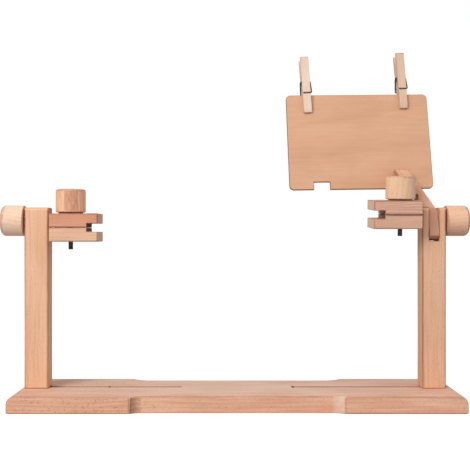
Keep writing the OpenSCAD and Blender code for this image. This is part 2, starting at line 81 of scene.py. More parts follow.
# Clothes pegs: place along the board, tilt and how far they are pushed over its edge
PEG_LEN, PEG_W, PEG_ROOM = 76, 10.5, 0.3
LEFT_PEG_IN, LEFT_PEG_TILT, LEFT_PEG_GRIP = 27, 1.9, 24.6
RIGHT_PEG_X, RIGHT_PEG_TILT, RIGHT_PEG_GRIP = 32, 0.9, 20
PRONG_FOOT_T, PRONG_TOP_Y, GROOVE_DEPTH = 4, 9.5, 1
WIRE_D, WIRE_ROOM, COIL_R, COIL_TURNS, BEND_R = 1.6, 0.1, 2.9, 4.5, 1.6
COIL_Z, WIRE_Z = PEG_LEN - 35, PEG_LEN - 49.8

# How finely the turned and swept pieces are divided
KNOB_SIDES, THREAD_SIDES, THREAD_LEVELS, WIRE_SIDES, COIL_STEPS, BEND_STEPS = 96, 24, 4, 12, 24, 6

# How the copied CAD meshes are cleaned: points merged within, faces joined within and edges rounded from
MERGE_MM, FLAT_DEG, SHARP_DEG = 0.004, 0.6, 32


def move(x, y, z):
    return Matrix.Translation((x, y, z))


def turn(axis, degrees):
    return Matrix.Rotation(math.radians(degrees), 4, axis)


def unit(value):
    """The value held between 0 and 1."""
    return max(0.0, min(1.0, value))


# The frames in which the CAD source builds its pieces
MIRROR = Matrix.Diagonal((-1, 1, 1, 1))
WORLD = Matrix.Identity(4)
LEFT = move(LEFT_POST_X, SLOT_Y, 0)
RIGHT = move(RIGHT_POST_X, SLOT_Y, 0) @ turn("Z", RIGHT_POST_TURN) @ MIRROR
L_CLAMP = LEFT @ move(0, 0, PIVOT_Z)
R_CLAMP = RIGHT @ move(0, 0, PIVOT_Z) @ turn("X", RIGHT_CLAMP_TILT)
ARM = RIGHT @ move(0, 0, PIVOT_Z) @ turn("X", ARM_TILT)
BOARD = ARM @ move(SLIT_X, 0, SLIT_Z + SLIT_ROOM) @ turn("Y", BOARD_TILT) @ move(-SLIT_X - BOARD_OUT, 0, 0)
L_PEG = BOARD @ move(BOARD_W - LEFT_PEG_IN, 0, BOARD_H) @ turn("Y", LEFT_PEG_TILT) @ move(0, 0, -LEFT_PEG_GRIP)
R_PEG = BOARD @ move(RIGHT_PEG_X, 0, BOARD_H) @ turn("Y", RIGHT_PEG_TILT) @ move(0, 0, -RIGHT_PEG_GRIP)


def rgb(r, g, b):
    """sRGB bytes to linear colour."""
    def lin(c):
        c /= 255
        return c / 12.92 if c <= 0.04045 else ((c + 0.055) / 1.055) ** 2.4
    return (lin(r), lin(g), lin(b), 1)


def shade(colour, r, g, b):
    """The colour with each channel multiplied by its share."""
    return (colour[0] * r, colour[1] * g, colour[2] * b, 1)


class Tree:
    """Short ways to add nodes to the node tree of a material or a world."""

    def __init__(self, owner):
        owner.use_nodes = True
        self.owner = owner
        self.nodes = owner.node_tree.nodes
        self.links = owner.node_tree.links

    def add(self, kind, **values):
        node = self.nodes.new(kind)
        for key, value in values.items():
            setattr(node, key, value)
        return node

    def feed(self, socket, value):
        """Links an output to the socket, or sets it to a number or a colour."""
        if isinstance(value, bpy.types.NodeSocket):
            self.links.new(value, socket)
        else:
            socket.default_value = value

    def surface(self, key, value):
        """An input of the material's principled shader."""
        self.feed(self.nodes["Principled BSDF"].inputs[key], value)

    def attribute(self, name, output="Fac"):
        return self.add("ShaderNodeAttribute", attribute_name=name).outputs[output]

    def split(self, vector):
        node = self.add("ShaderNodeSeparateXYZ")
        self.feed(node.inputs[0], vector)
        return node.outputs

    def noise(self, vector, scale, detail=2, rough=0.5, shift=(0, 0, 0)):
        """Noise that is drawn out along each axis where the scale is small."""
        place = self.add("ShaderNodeMapping")
        self.feed(place.inputs["Scale"], scale)
        self.feed(place.inputs["Location"], shift)
        self.feed(place.inputs["Vector"], vector)
        node = self.add("ShaderNodeTexNoise")
        self.feed(node.inputs["Scale"], 1)
        self.feed(node.inputs["Detail"], detail)
        self.feed(node.inputs["Roughness"], rough)
        self.feed(node.inputs["Vector"], place.outputs["Vector"])
        return node.outputs["Fac"]

    def math(self, operation, a, b=None, clamp=False):
        node = self.add("ShaderNodeMath", operation=operation, use_clamp=clamp)
        self.feed(node.inputs[0], a)
        if b is not None:
            self.feed(node.inputs[1], b)
        return node.outputs[0]

    def plus(self, a, b, clamp=False):
        return self.math("ADD", a, b, clamp)

    def times(self, a, b):
        return self.math("MULTIPLY", a, b)

    def ramp(self, value, low, high, out_low=0.0, out_high=1.0):
        """A smooth step from out_low, up to low, to out_high, from high."""
        node = self.add("ShaderNodeMapRange", interpolation_type="SMOOTHSTEP")
        for key, number in (("From Min", low), ("From Max", high), ("To Min", out_low), ("To Max", out_high)):
            self.feed(node.inputs[key], number)
        self.feed(node.inputs["Value"], value)
        return node.outputs["Result"]

    def mix(self, share, a, b):
        """Colour a, and b by its share. The sockets' names repeat in this node, so they are taken by number."""
        node = self.add("ShaderNodeMix", data_type="RGBA", blend_type="MIX")
        for socket, value in ((0, share), (6, a), (7, b)):
            self.feed(node.inputs[socket], value)
        return node.outputs[2]

    def bump(self, height, strength, distance):
        node = self.add("ShaderNodeBump")
        self.feed(node.inputs["Strength"], strength)
        self.feed(node.inputs["Distance"], distance)
        self.feed(node.inputs["Height"], height)
        self.surface("Normal", node.outputs["Normal"])


def wood(name, light, dark, end, pink=None, figure=0.4, spacing=3.4, fleck=0.35, streak=0.5, waves=1.0, zones=False,
         dark_spots=(), sawn=None):
    """Solid wood, drawn in the mesh's grain attribute: millimetres, with X along the grain.

    Four more attributes tell where the wood is end grain, where it is a rounded edge, darkened as painted shade, where
    it gets a painted sheen and where it gets painted shade. figure, streak and fleck are the strengths of the year
    rings, the long streaks and the short dashes. spacing is the distance of the rings and waves tells how far they
    wander. zones makes a board more speckled at its left end and pinker at its right.
    Each dark spot is x, y and its two half widths; some spots are painted shadows. sawn is a share of x, a share of y
    and a limit: the saw has left its marks where the two shares together stay below the limit.
    """
    t = Tree(bpy.data.materials.new(name))
    grain = t.attribute("grain", "Vector")
    along, across, deep = t.split(grain)

    # Year rings round the X axis, bent by two slow noises, and strong in some places only
    warp = t.noise(grain, (0.009, 0.035, 0.035))
    drift = t.noise(grain, (0.004, 0.012, 0.012), 1, shift=(7, 3, 1))
    warp_mm, drift_mm = 9 * waves, 16 * waves
    radius = t.math("SQRT", t.plus(t.times(across, across), t.times(deep, deep)))
    radius = t.plus(radius, t.times(warp, warp_mm))
    radius = t.plus(radius, t.times(drift, drift_mm))
    ring = t.math("FRACT", t.math("DIVIDE", radius, spacing))
    late = t.times(t.ramp(ring, 0.3, 0.86), t.ramp(ring, 0.88, 1.0, 1, 0))
    strength = t.noise(grain, (0.006, 0.03, 0.03), 1, shift=(2, 9, 4))
    late = t.times(late, t.ramp(strength, 0.35, 0.65, 0.3, 1.0))

    # Long streaks, fine fibres, broad patches and the short dark dashes of beech
    streaks = t.noise(grain, (0.018, 0.62, 0.62), 4, 0.62)
    fine = t.noise(grain, (0.07, 3.6, 3.6), 3, 0.6)
    patches = t.noise(grain, (0.012, 0.045, 0.045), shift=(5, 5, 5))
    dashes = t.ramp(t.noise(grain, (0.26, 1.5, 1.5), 1), 0.63, 0.71)
    tone = t.times(late, figure)
    tone = t.plus(tone, t.times(t.ramp(streaks, 0.3, 0.72), streak))
    tone = t.plus(tone, t.times(t.ramp(patches, 0.3, 0.7), 0.4))
    tone = t.plus(tone, t.times(fine, 0.25), clamp=True)
    colour = t.mix(tone, light, dark)
    if pink:
        blush = t.ramp(t.noise(grain, (0.011, 0.19, 0.19), 3, 0.6, (3, 1, 6)), 0.42, 0.68, 0, 0.75)
        if zones:
            blush = t.times(blush, t.ramp(along, -60, 130, 0.3, 1))
        colour = t.mix(blush, colour, pink)
    speck = shade(dark, 0.6, 0.44, 0.36)
    if zones:
        spots = t.ramp(t.noise(grain, (0.34, 0.85, 0.85), 2, 0.6, (11, 4, 2)), 0.59, 0.67)
        colour = t.mix(t.times(spots, t.ramp(along, -150, -60, 0.85, 0.3)), colour, speck)
    colour = t.mix(t.times(dashes, fleck), colour, speck)

    # End grain, painted shade along the rounded edges and a painted sheen
    pores = t.noise(grain, (0.5, 2.4, 2.4))
    end_tone = t.mix(t.plus(t.times(late, 0.5), t.times(pores, 0.5), clamp=True), end, shade(end, 0.74, 0.68, 0.62))
    colour = t.mix(t.times(t.attribute("end"), 0.8), colour, end_tone)
    edge = t.attribute("edge")
    edge_shade = t.ramp(t.noise(grain, (0.05, 0.4, 0.4), shift=(1, 2, 3)), 0.3, 0.7, 0.55, 0.95)
    # The rounded edges are darkened: painted shade
    colour = t.mix(t.times(edge, edge_shade), colour, shade(dark, 0.72, 0.62, 0.62))
    # A painted sheen: the faces so marked are mixed towards a pale tone
    painted_sheen = t.times(t.attribute("painted_sheen"), t.ramp(patches, 0.3, 0.7, 0.45, 0.3))
    colour = t.mix(painted_sheen, colour, PAINTED_SHEEN_TONE)

    # Saw marks, dark spots and painted shade
    ridges = 0.0
    if sawn:
        share_x, share_y, limit = sawn
        place = t.plus(t.times(along, share_x), t.times(across, share_y))
        phase = t.plus(t.times(along, 2.7), t.times(patches, 14))
        ridges = t.times(t.ramp(place, limit - 2, limit + 2, 1, 0),
                         t.ramp(t.math("SINE", phase), -0.7, 0.9, 0.34, 0.6))
        colour = t.mix(ridges, colour, shade(dark, 0.55, 0.47, 0.45))
    # Painted shade in recesses and on faces turned from the light, and the dark spots, one of them a painted shadow
    shade_and_spots = t.attribute("shade_and_spots")
    for x, y, half_x, half_y in dark_spots:
        aside = t.math("POWER", t.math("DIVIDE", t.math("SUBTRACT", along, x), half_x), 2)
        ahead = t.math("POWER", t.math("DIVIDE", t.math("SUBTRACT", across, y), half_y), 2)
        shade_and_spots = t.math("MAXIMUM", shade_and_spots, t.ramp(t.plus(aside, ahead), 0.35, 1.0, 0.9, 0))
    shade_and_spots = t.times(shade_and_spots, t.ramp(fine, 0.25, 0.7, 0.9, 1.0))
    colour = t.mix(shade_and_spots, colour, shade(dark, 0.16, 0.1, 0.08))

    t.surface("Base Color", colour)
    t.surface("Roughness", t.plus(t.ramp(streaks, 0.25, 0.75, 0.48, 0.62), t.times(shade_and_spots, 0.36)))
    t.surface("Specular IOR Level", 0.4)
    fibres = t.plus(t.times(streaks, 0.6), t.times(fine, 0.4))
    hollows = t.plus(t.times(dashes, 0.4), t.times(ridges, 0.6))
    t.bump(t.math("SUBTRACT", fibres, hollows), 0.22, 0.0003)
    return t.owner


def plywood(name, light, dark, core):
    """Beech-faced plywood. Y of the grain attribute is the depth through the sheet, from 0 in its middle."""
    t = Tree(bpy.data.materials.new(name))
    grain = t.attribute("grain", "Vector")
    along, deep, up = t.split(grain)

    # Soft slanting figures of the peeled face, one of them through the lower third
    figure_mm, figure_start, slope = 47, 115, 0.142
    bend = t.noise(grain, (0.012, 0.0, 0.02), 3, shift=(3, 0, 8))
    level = t.plus(t.times(along, slope), t.plus(up, t.times(bend, 22)))
    band = t.math("FRACT", t.math("DIVIDE", t.plus(level, figure_start), figure_mm))
    figure = t.math("MAXIMUM", t.ramp(band, 0.0, 0.42, 1, 0), t.ramp(band, 0.955, 1.0, 0, 1))
    vary = t.noise(grain, (0.009, 0.0, 0.016), shift=(6, 0, 1))
    figure = t.times(figure, t.ramp(vary, 0.38, 0.62, 0.15, 1))

    streaks = t.noise(grain, (0.012, 0.0, 0.34), 4, 0.62)
    fine = t.noise(grain, (0.09, 0.4, 2.2), 3, 0.6)
    patches = t.noise(grain, (0.016, 0.0, 0.03), 3, 0.55, (4, 0, 2))
    dashes = t.ramp(t.noise(grain, (0.22, 0.5, 1.7), 1), 0.63, 0.72)
    tone = t.plus(t.times(figure, 0.32), t.times(t.ramp(streaks, 0.3, 0.7), 0.26))
    tone = t.plus(tone, t.times(t.ramp(patches, 0.3, 0.7), 0.34))
    tone = t.plus(tone, t.times(fine, 0.16), clamp=True)
    colour = t.mix(tone, light, dark)
    colour = t.mix(t.times(dashes, 0.14), colour, shade(dark, 0.6, 0.48, 0.42))

    # The cut edge shows the plies, and the rounded edges their dark core
    depth = t.math("ABSOLUTE", deep)
    inner = t.times(t.ramp(depth, 1.25, 1.4, 1, 0), t.ramp(depth, 0.55, 0.7, 0.55, 1))
    cut = t.mix(t.times(inner, t.ramp(fine, 0.3, 0.7, 0.7, 1)), light, core)
    colour = t.mix(t.attribute("end"), colour, cut)
    colour = t.mix(t.times(t.attribute("edge"), 0.85), colour, core)

    t.surface("Base Color", colour)
    t.surface("Roughness", t.ramp(streaks, 0.25, 0.75, 0.5, 0.64))
    t.surface("Specular IOR Level", 0.35)
    t.bump(t.math("SUBTRACT", fine, t.times(dashes, 0.4)), 0.15, 0.0002)
    return t.owner


def metal(name, light, dark, rough):
    """Plated or drawn metal with fine scratches and dull patches, in object coordinates."""
    t = Tree(bpy.data.materials.new(name))
    where = t.add("ShaderNodeTexCoord").outputs["Object"]
    cloud = t.noise(where, (180, 180, 180), 3, 0.6)
    grit = t.noise(where, (2700, 2700, 2700), 3, 0.6)
    lines = t.noise(where, (360, 3600, 3600), shift=(1, 7, 2))
    dull = t.plus(t.times(t.ramp(cloud, 0.35, 0.7), 0.7), t.times(grit, 0.3), clamp=True)
    t.surface("Base Color", t.mix(dull, light, dark))
    t.surface("Metallic", 1.0)
    t.surface("Roughness", t.plus(t.ramp(dull, 0.2, 0.9, rough - 0.08, rough + 0.14), t.times(lines, 0.06)))
    t.bump(t.plus(t.times(lines, 0.5), t.times(grit, 0.3)), 0.15, 0.00008)
    return t.owner


# The pale tone of the painted sheen on the base's top and of the painted highlight on its lit cove
PAINTED_SHEEN_TONE = (0.85, 0.71, 0.62, 1)
BEECH_END = rgb(206, 158, 130)

# Where the base and the arm lie in their grain
BASE_SHIFT, ARM_SHIFT = (0, 62, 95), (900, 60, 40)
SLOT_GRAIN_Y = BASE_SHIFT[1] + SLOT_Y

# The arm's tenon is sawn up to this height over the pivot
SAWN_UP_TO = 14
SAW_X, SAW_Y = math.cos(math.radians(ARM_LEAN)), -math.sin(math.radians(ARM_LEAN))

post_wood = wood("post_beech", rgb(238, 196, 160), rgb(222, 168, 132), BEECH_END, rgb(236, 186, 154), fleck=0.5)
# The right post is a darker copy of the post wood: painted shade, for light that falls off towards the right
shaded_post = wood("post_beech_painted_shade", rgb(231, 189, 154), rgb(214, 161, 126), BEECH_END, rgb(229, 178, 147), fleck=0.5)
# The base's dark spots: a dark dot in each slot, and at x -233 a painted shadow of the left post across the slot at its
# foot
base_wood = wood("base_beech", rgb(240, 197, 166), rgb(214, 159, 128), BEECH_END, rgb(226, 158, 132), figure=0.5,
                 spacing=5.0, fleck=0.5, zones=True,
                 dark_spots=((70.5, SLOT_GRAIN_Y, 2.6, 9.5), (-161.4, SLOT_GRAIN_Y, 2.4, 7.5),
                           (-233, SLOT_GRAIN_Y, 27, 5.2)))
pink_jaw = wood("jaw_beech_pink", rgb(220, 158, 126), rgb(200, 136, 106), rgb(226, 186, 168))
pale_jaw = wood("jaw_beech_pale", rgb(234, 192, 160), rgb(216, 168, 136), rgb(226, 188, 168))
ruled_jaw = wood("jaw_beech_ruled", rgb(234, 192, 166), rgb(200, 152, 128), rgb(240, 206, 176), figure=0.6, waves=2.2)
dull_jaw = wood("jaw_beech_dull", rgb(226, 182, 156), rgb(204, 156, 130), rgb(240, 204, 174))
arm_wood = wood("arm_beech", rgb(231, 181, 151), rgb(211, 157, 127), rgb(196, 148, 122), figure=0.35,
                sawn=(SAW_X, SAW_Y, SAW_X * ARM_SHIFT[0] + SAW_Y * ARM_SHIFT[1] + SAWN_UP_TO))
pink_knob = wood("knob_wood_pink", rgb(244, 200, 162), rgb(227, 168, 134), rgb(226, 178, 146), figure=0.5, spacing=4.2,
                 waves=0.8)
pale_knob = wood("knob_wood_pale", rgb(244, 212, 188), rgb(230, 188, 158), rgb(228, 184, 152), figure=0.35, spacing=5.0,
                 streak=0.35, waves=1.2)
warm_knob = wood("knob_wood_warm", rgb(241, 207, 173), rgb(222, 174, 138), rgb(228, 182, 148), figure=0.2, spacing=5.0,
                 streak=0.25, waves=1.2)
dull_knob = wood("knob_wood_dull", rgb(238, 194, 164), rgb(220, 170, 138), rgb(222, 172, 142), figure=0.35, spacing=5.2,
                 streak=0.35, waves=1.2)
peg_wood = wood("peg_wood", rgb(234, 213, 196), rgb(216, 184, 160), rgb(218, 184, 158), figure=0.35, spacing=1.8,
                fleck=0.12)
dark_peg = wood("peg_wood_dark", rgb(223, 193, 170), rgb(204, 168, 141), rgb(208, 170, 142), spacing=1.8, fleck=0.15)
board_ply = plywood("board_plywood", rgb(214, 167, 134), rgb(197, 145, 112), rgb(122, 78, 54))
dark_steel = metal("dark_steel", rgb(98, 95, 92), rgb(46, 43, 40), 0.4)
zinc = metal("zinc_plate", rgb(196, 194, 188), rgb(142, 140, 136), 0.32)
spring_wire = metal("spring_wire", rgb(84, 80, 78), rgb(40, 37, 36), 0.36)
shaded_washer = metal("washer_painted_shade", rgb(112, 88, 72), rgb(70, 52, 42), 0.45)
brass = metal("dull_brass", rgb(206, 172, 104), rgb(150, 118, 62), 0.36)

NODE_BODY = {node: body for body, nodes in frame["record"]["behaviour"]["bodies"].items() for node in nodes}
NODE_SLOT = {part["node"]: part["material_slot"] for part in frame["record"]["subparts"]}

# The turns that bring the grain's axis of a frame to X
GRAIN_TURN = {
    "x": Matrix.Identity(3),
    "z": Matrix(((0, 0, 1), (1, 0, 0), (0, 1, 0))),
}


def shown(node, mesh, material):
    """A smooth piece in the scene, named after its CAD node."""
    mesh.materials.clear()
    mesh.materials.append(material)
    for face in mesh.polygons:
        face.use_smooth = True
    piece = bpy.data.objects.new(node + "_piece", mesh)
    bpy.context.scene.collection.objects.link(piece)
    return piece


def make(node, mesh, material):
    """A finished piece that stands for a CAD node and moves with it."""
    piece = shown(node, mesh, material)
    normals = piece.modifiers.new("normals", "WEIGHTED_NORMAL")
    normals.keep_sharp = True
    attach(piece, NODE_BODY[node])
    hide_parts(node)


def finished(bm, node):
    """The mesh of a bmesh, with its faces turned outwards."""
    bmesh.ops.recalc_face_normals(bm, faces=bm.faces)
    mesh = bpy.data.meshes.new(node + "_mesh")
    bm.to_mesh(mesh)
    bm.free()
    return mesh


def tube(rings, node):
    """The mesh of a tube through rings of points, closed at both ends."""
    bm = bmesh.new()
    grid = [[bm.verts.new(point) for point in ring] for ring in rings]
    for here, there in zip(grid, grid[1:]):
        for k in range(len(here)):
            after = (k + 1) % len(here)
            bm.faces.new((here[k], here[after], there[after], there[k]))
    bm.faces.new(list(reversed(grid[0])))
    bm.faces.new(grid[-1])
    return finished(bm, node)


def long_edge(normal):
    """True for the rounding between a flat top or underside and a long side."""
    return 0.2 < abs(normal.z) < 0.97 and abs(normal.x) < 0.3


def rim(normal):
    """True for the rounding between a turned piece's side and its ends."""
    return 0.25 < abs(normal.z) < 0.97


def grain_of(mesh, place, along, shift, edges=(), marks=None, soft=None, painted_sheen=None):
    """Writes the mesh attributes that the materials read.

    along is the grain's axis in the frame place. marks gives how much painted shade a point gets, from its place in
    that frame's millimetres and its face's middle and normal. soft tells from a normal whether a face belongs to a
    rounded edge, beside those in edges, and the last function gives how much painted sheen a point gets.
    """
    back = place.inverted()
    own = [back @ (vertex.co / MM) for vertex in mesh.vertices]
    grain = mesh.attributes.new("grain", "FLOAT_VECTOR", "POINT")
    for point, item in zip(own, grain.data):
        item.vector = GRAIN_TURN[along] @ point + Vector(shift)
    axis = (place.to_3x3() @ (GRAIN_TURN[along].transposed() @ Vector((1, 0, 0)))).normalized()
    # All four are made before any is looked up, because a new attribute moves the older ones
    domains = {"end": "FACE", "edge": "FACE", "shade_and_spots": "CORNER", "painted_sheen": "CORNER"}
    for key, domain in domains.items():
        mesh.attributes.new(key, "FLOAT", domain)
    end, edge, shade_and_spots, painted_sheen_values = (mesh.attributes[key] for key in domains)
    turned = place.to_3x3().transposed()
    for face in mesh.polygons:
        normal = turned @ face.normal
        end.data[face.index].value = unit((abs(face.normal.dot(axis)) - 0.55) / 0.4)
        edge.data[face.index].value = 1.0 if face.index in edges or (soft and soft(normal)) else 0.0
        middle = back @ (face.center / MM)
        for loop in face.loop_indices:
            at = own[mesh.loops[loop].vertex_index]
            if marks:
                shade_and_spots.data[loop].value = marks(at, middle, normal)
            if painted_sheen:
                painted_sheen_values.data[loop].value = painted_sheen(at, normal)


def carve(node, material, place, along, shift, round_mm=0.8, segments=3, marks=None, soft=None, painted_sheen=None):
    """Copies a CAD solid, merges its flat faces and rounds its edges, and keeps it in the solid's own box."""
    mesh = frame["nodes"][node].data.copy()
    box = [(min(values), max(values)) for values in zip(*(vertex.co for vertex in mesh.vertices))]
    bm = bmesh.new()
    bm.from_mesh(mesh)
    bmesh.ops.remove_doubles(bm, verts=bm.verts, dist=MERGE_MM * MM)
    bmesh.ops.dissolve_limit(bm, angle_limit=math.radians(FLAT_DEG), verts=bm.verts, edges=bm.edges)
    bmesh.ops.recalc_face_normals(bm, faces=bm.faces)
    sharp = [e for e in bm.edges if len(e.link_faces) == 2 and e.calc_face_angle(0) > math.radians(SHARP_DEG)]
    made = bmesh.ops.bevel(bm, geom=sharp, offset=round_mm * MM, segments=segments, profile=0.6, affect="EDGES",
                           clamp_overlap=False)
    for vertex in bm.verts:
        vertex.co = [min(max(value, low), high) for value, (low, high) in zip(vertex.co, box)]
    bm.faces.index_update()
    edges = {f.index for f in made["faces"]}
    bm.to_mesh(mesh)
    bm.free()
    grain_of(mesh, place, along, shift, edges, marks, soft, painted_sheen)
    make(node, mesh, material)


def circle(count):
    """The directions (x, y) of the points of a circle."""
    return [(math.cos(2 * math.pi * k / count), math.sin(2 * math.pi * k / count)) for k in range(count)]


def lathe(node, material, place, profile, shift, lean):
    """Turned piece round the Z axis of a frame. profile is a closed list of (radius, height). lean tips the grain."""
    bm = bmesh.new()
    rings = [[bm.verts.new((place @ Vector((r * x, r * y, z))) * MM) for r, z in profile]
             for x, y in circle(KNOB_SIDES)]
    for here, there in zip(rings, rings[1:] + rings[:1]):
        for i in range(len(profile)):
            j = (i + 1) % len(profile)
            bm.faces.new((here[i], here[j], there[j], there[i]))
    bmesh.ops.remove_doubles(bm, verts=bm.verts, dist=0.001 * MM)
    mesh = finished(bm, node)
    grain_of(mesh, place @ turn("X", lean[0]) @ turn("Y", lean[1]), "z", shift, soft=rim)
    make(node, mesh, material)


def corner(r, z, radius, start, stop, steps):
    """Points (radius, height) of an arc round r, z from one angle to another."""
    angles = [math.radians(start + (stop - start) * i / steps) for i in range(steps + 1)]
    return [(r + radius * math.cos(a), z + radius * math.sin(a)) for a in angles]


def knob(node, material, place, shift, lean, bore, radius, outer_round=KNOB_ROUND):
    """Wooden knob standing on z = 0 of its frame. bore is the profile of its bore, from the inner end down."""
    foot = KNOB_FOOT_ROUND
    profile = [(bore[-1][0], 0.0), (radius - KNOB_FOOT_FLAT, 0.0)] + corner(radius - foot, foot, foot, -60, 0, 4)
    profile += corner(radius - outer_round, KNOB_H - outer_round, outer_round, 0, 90, 8)
    profile += [(KNOB_DISH_R, KNOB_H), (0.0, KNOB_H - KNOB_DISH), (0.0, bore[0][1])] + bore
    lathe(node, material, place, profile, shift, lean)


def thread(node, material, place, length):
    """Threaded rod along Z of a frame: a helical ridge with chamfered ends."""
    turns = int(length / THREAD_PITCH)
    rings = []
    for level in range(turns * THREAD_LEVELS + 1):
        z = level * THREAD_PITCH / THREAD_LEVELS
        taper = unit(min(z, turns * THREAD_PITCH - z) / THREAD_END)
        ring = []
        for k, (x, y) in enumerate(circle(THREAD_SIDES)):
            phase = (z / THREAD_PITCH - k / THREAD_SIDES) % 1.0
            ridge = 1 - abs(2 * phase - 1)
            radius = STUD_R - THREAD_DEPTH + THREAD_DEPTH * min(1.0, ridge * 1.25) * taper
            ring.append((place @ Vector((radius * x, radius * y, z * length / (turns * THREAD_PITCH)))) * MM)
        rings.append(ring)
    make(node, tube(rings, node), material)


def base_painted_shade(at, middle, normal):
    """Painted shade in the routed slots of the base, most at their round inner ends, and on its front left cove, which
    faces away from the light.
    """
    if abs(normal.z) > 0.5 or abs(middle.x) > SLOT_OUTER_X:
        return 0.0
    if abs(middle.y - SLOT_Y) < SLOT_REACH_Y:
        return 0.95 if abs(middle.x) < SLOT_INNER_X else 0.5
    if middle.y < COVE_Y and -COVE_OUT < middle.x < -COVE_IN:
        return 0.68 * unit((-COVE_IN - at.x) / (COVE_OUT - COVE_IN)) ** 1.3
    return 0.0


def base_painted_sheen(at, normal):
    """A painted sheen on the top of the base, most in the middle, and a painted highlight on the front right cove,
    which faces the light.
    """
    if normal.z > 0.9:
        return max(0.25, min(1.0, 1.45 - abs(at.x) / 130))
    if at.y < COVE_Y and COVE_IN < at.x < COVE_OUT and normal.x < -0.02:
        return 0.8 * min(1.0, (at.x - COVE_IN) / 14)
    return 0.0


def notch_painted_shade(at, middle, normal):
    """Painted shade on the inner end of a jaw's rebate, deep in the notch, most at the front."""
    if abs(normal.x) < 0.9 or abs(middle.x - (JAW_X + JAW_LEN - NOTCH_LEN)) > 0.8:
        return 0.0
    return 1.0 if at.y < 0 else 0.85


def lit_notch_painted_shade(at, middle, normal):
    """On the right that end faces the light, so its back gets hardly any painted shade."""
    return notch_painted_shade(at, middle, normal) * (1.0 if at.y < 0 else 0.1)


# Base, posts, arm and board
carve("base_board", base_wood, WORLD, "x", BASE_SHIFT, round_mm=0.6, marks=base_painted_shade, soft=long_edge, painted_sheen=base_painted_sheen)
carve("left_post", post_wood, LEFT, "z", (0, 55, 70), round_mm=0.9)
carve("right_post", shaded_post, RIGHT, "z", (400, 48, 90), round_mm=0.9)
carve("chart_arm", arm_wood, ARM @ turn("Y", ARM_LEAN), "z", ARM_SHIFT, round_mm=0.7)
carve("chart_board", board_ply, BOARD, "x", (0, 0, 0), round_mm=0.7, segments=2)

# Clamps: the upper and lower blocks of the two sides differ in tone, as in the photograph
# The inner end of each jaw's rebate gets painted shade
for node, material, place, shift, marks in (
    ("left_fixed_jaw", pink_jaw, L_CLAMP, (300, 70, 60), notch_painted_shade),
    ("left_loose_jaw", pale_jaw, L_CLAMP, (700, 40, 90), notch_painted_shade),
    ("right_loose_jaw", ruled_jaw, R_CLAMP, (150, 30, 28), lit_notch_painted_shade),
    ("right_fixed_jaw", dull_jaw, R_CLAMP, (550, 80, 66), lit_notch_painted_shade),
):
    carve(node, material, place, "x", shift, marks=marks, soft=long_edge)

# Knobs: those on the clamps have a bore for the rod, those at the sides one for an insert and the stud's end
L_TOP = L_CLAMP @ move(SCREW_X, SCREW_Y, JAW_H / 2 + KNOB_SEAT)
R_TOP = R_CLAMP @ move(SCREW_X, SCREW_Y, JAW_H * 1.5 + JAW_GAP + KNOB_SEAT)
OUTWARDS = move(-POST_W / 2 - POST_ROOM - KNOB_SEAT, 0, 0) @ turn("Y", -90)
ROD_BORE = [(STUD_R, STUD_IN_KNOB)]
INSERT_BORE = [(STUD_ROOM_R, STUD_ROOM), (STUD_ROOM_R, INSERT_LEN), (INSERT_R, INSERT_LEN)]
knob("left_clamp_knob", pink_knob, L_TOP, (40, 16, 13), (16, 3), ROD_BORE, KNOB_R)
knob("right_clamp_knob", warm_knob, R_TOP, (90, 30, 12), (9, -7), ROD_BORE, KNOB_R)
knob("left_pivot_knob", pale_knob, L_CLAMP @ OUTWARDS, (160, 24, 20), (8, 10), INSERT_BORE, SIDE_KNOB_R,
     SIDE_KNOB_ROUND)
knob("right_pivot_knob", dull_knob, R_CLAMP @ OUTWARDS, (220, 34, 10), (-10, 6), INSERT_BORE, SIDE_KNOB_R,
     SIDE_KNOB_ROUND)

# Threaded rods of the clamps, from their lower ends
LOW_L = -(JAW_H * 1.5 + JAW_GAP) - SCREW_OUT
LOW_R = -JAW_H / 2 - SCREW_OUT
ROD_LEN = SCREW_OUT + 2 * JAW_H + JAW_GAP + KNOB_SEAT + STUD_IN_KNOB
thread("left_clamp_stud", dark_steel, L_CLAMP @ move(SCREW_X, SCREW_Y, LOW_L), ROD_LEN)
thread("right_clamp_stud", dark_steel, R_CLAMP @ move(SCREW_X, SCREW_Y, LOW_R), ROD_LEN)

# Clothes pegs: the wire lies beside the prongs and in a groove across each of them
SIDE_X = PEG_W / 2 + PEG_ROOM + WIRE_D / 2
PEG_FACE = BOARD_T / 2 + PEG_ROOM
GROOVE_Y = PEG_FACE + PRONG_FOOT_T + (PRONG_TOP_Y - PEG_FACE - PRONG_FOOT_T) / PEG_LEN * WIRE_Z - GROOVE_DEPTH
WIRE_Y = GROOVE_Y + WIRE_D / 2 + WIRE_ROOM
WIRE_TIP_IN = 1.2


def bend_points(before, at, after):
    """A round corner between two straight runs."""
    first = at + (before - at).normalized() * BEND_R
    last = at + (after - at).normalized() * BEND_R
    shares = [i / BEND_STEPS for i in range(BEND_STEPS + 1)]
    return [(1 - u) ** 2 * first + 2 * u * (1 - u) * at + u * u * last for u in shares]


def spring_path():
    """One run across the front prong, the coil through both prongs, and the same again at the back."""
    tip = Vector((PEG_W / 2 - WIRE_TIP_IN, -WIRE_Y, WIRE_Z))
    bend = Vector((-SIDE_X, -WIRE_Y, WIRE_Z))
    leave = Vector((-SIDE_X, -COIL_R, COIL_Z))
    front = [tip] + bend_points(tip, bend, leave)
    count = round(COIL_TURNS * COIL_STEPS)
    coil = []
    for i in range(count + 1):
        a = 2 * math.pi * i / COIL_STEPS
        coil.append(Vector((-SIDE_X + 2 * SIDE_X * i / count, -COIL_R * math.cos(a), COIL_Z + COIL_R * math.sin(a))))
    return front + coil + [Vector((-q.x, -q.y, q.z)) for q in reversed(front)]


